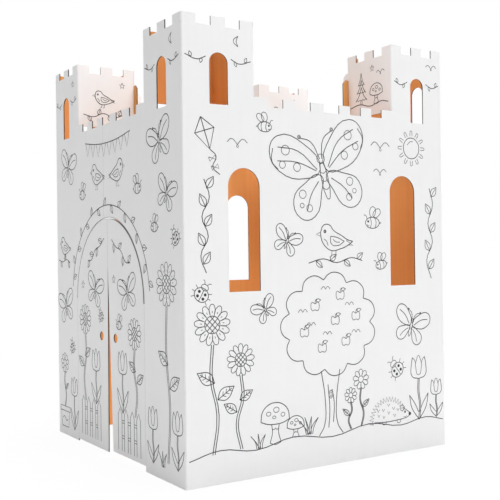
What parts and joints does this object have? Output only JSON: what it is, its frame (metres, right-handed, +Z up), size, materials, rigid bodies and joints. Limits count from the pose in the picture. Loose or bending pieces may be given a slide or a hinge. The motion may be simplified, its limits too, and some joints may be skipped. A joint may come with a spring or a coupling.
{
  "type": "cardboard castle",
  "caption": "Child-size play castle folded from white-faced corrugated board, with corner towers, tall windows and a hinged double door.",
  "frame": {"origin": "on the floor, under the middle of the castle", "axes": "+Z up, -Y out of the front wall with the double door, +X towards the castle's right-hand side wall as seen from in front"},
  "size_m": [0.813, 0.813, 1.085],
  "materials": {
    "white_faced_board": "matte",
    "printed_line": "matte"
  },
  "bodies": {
    "castle": {"castle_walls": "white_faced_board"},
    "right_leaf": {"right_door_leaf": "white_faced_board"},
    "left_leaf": {"left_door_leaf": "white_faced_board"}
  },
  "joints": [
    {"name": "right_leaf_hinge", "type": "hinge", "parent": "castle", "child": "right_leaf", "pos_m": [0.2003, -0.4065, 0.2], "axis": [0, 0, 1], "range_deg": [0, 150]},
    {"name": "left_leaf_hinge", "type": "hinge", "parent": "castle", "child": "left_leaf", "pos_m": [-0.2433, -0.4065, 0.2], "axis": [0, 0, -1], "range_deg": [0, 150]}
  ]
}
